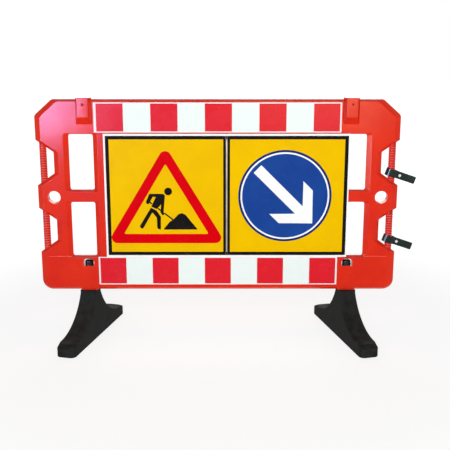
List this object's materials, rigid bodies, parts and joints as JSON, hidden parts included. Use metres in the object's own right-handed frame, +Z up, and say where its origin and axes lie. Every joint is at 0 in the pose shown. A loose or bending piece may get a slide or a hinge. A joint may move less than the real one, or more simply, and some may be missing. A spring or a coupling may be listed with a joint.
{
  "type": "construction barrier",
  "caption": "Moulded road-works barrier panel with reflective boards and square sign faces, standing on swivelling feet, with end grips, lamp brackets and coupling straps.",
  "frame": {"origin": "on the floor, at the middle of the whole outline, which is 45 mm to the right of the panel's own middle because the coupling straps reach past the right-hand end only", "axes": "+X to the right along the panel seen from the front, +Y to the back, +Z up; the front faces -Y"},
  "size_m": [1.8826, 0.6638, 1.223],
  "materials": {
    "orange_polyethylene": "satin moulded polyethylene, orange-red",
    "reflective_sheeting": "red and white block-striped reflective sheeting",
    "sign_plate_aluminium": "aluminium plate, yellow sheeting on the front, bare on the back",
    "joint_strip_aluminium": "mill-finish aluminium",
    "zinc_steel": "zinc-plated steel",
    "black_foot_rubber": "matt recycled rubber",
    "black_plastic": "satin moulded plastic",
    "strap_rubber": "smooth black rubber band",
    "white_stud": "white press-stud cap"
  },
  "bodies": {
    "panel": {"frame_moulding": "orange_polyethylene", "grip_bar_upper_left": "orange_polyethylene", "grip_bar_lower_left": "orange_polyethylene", "grip_bar_upper_right": "orange_polyethylene", "grip_bar_lower_right": "orange_polyethylene", "top_reflective_board": "reflective_sheeting", "bottom_reflective_board": "reflective_sheeting", "left_sign_plate": "sign_plate_aluminium", "right_sign_plate": "sign_plate_aluminium", "sign_joint_strip": "joint_strip_aluminium", "left_sign_washers": "zinc_steel", "right_sign_washers": "zinc_steel", "left_sign_nuts": "zinc_steel", "right_sign_nuts": "zinc_steel", "left_lamp_bracket": "orange_polyethylene", "right_lamp_bracket": "orange_polyethylene", "bracket_screws": "zinc_steel"},
    "left_foot_unit": {"left_foot": "black_foot_rubber", "left_pivot_post": "black_plastic"},
    "right_foot_unit": {"right_foot": "black_foot_rubber", "right_pivot_post": "black_plastic"},
    "upper_strap_unit": {"upper_coupling_strap": "strap_rubber", "upper_strap_stud": "white_stud", "upper_strap_socket": "black_plastic"},
    "lower_strap_unit": {"lower_coupling_strap": "strap_rubber", "lower_strap_stud": "white_stud", "lower_strap_socket": "black_plastic"}
  },
  "joints": [
    {"name": "left_foot_swivel", "type": "hinge", "parent": "panel", "child": "left_foot_unit", "pos_m": [-0.70027, 0, 0.244], "axis": [0, 0, 1], "continuous": true},
    {"name": "right_foot_swivel", "type": "hinge", "parent": "panel", "child": "right_foot_unit", "pos_m": [0.60973, 0, 0.244], "axis": [0, 0, 1], "continuous": true},
    {"name": "upper_strap_swing", "type": "hinge", "parent": "panel", "child": "upper_strap_unit", "pos_m": [0.81673, 0, 0.849], "axis": [0, 0, 1], "range_deg": [-95, 95]},
    {"name": "lower_strap_swing", "type": "hinge", "parent": "panel", "child": "lower_strap_unit", "pos_m": [0.81673, 0, 0.51], "axis": [0, 0, 1], "range_deg": [-95, 95]}
  ]
}
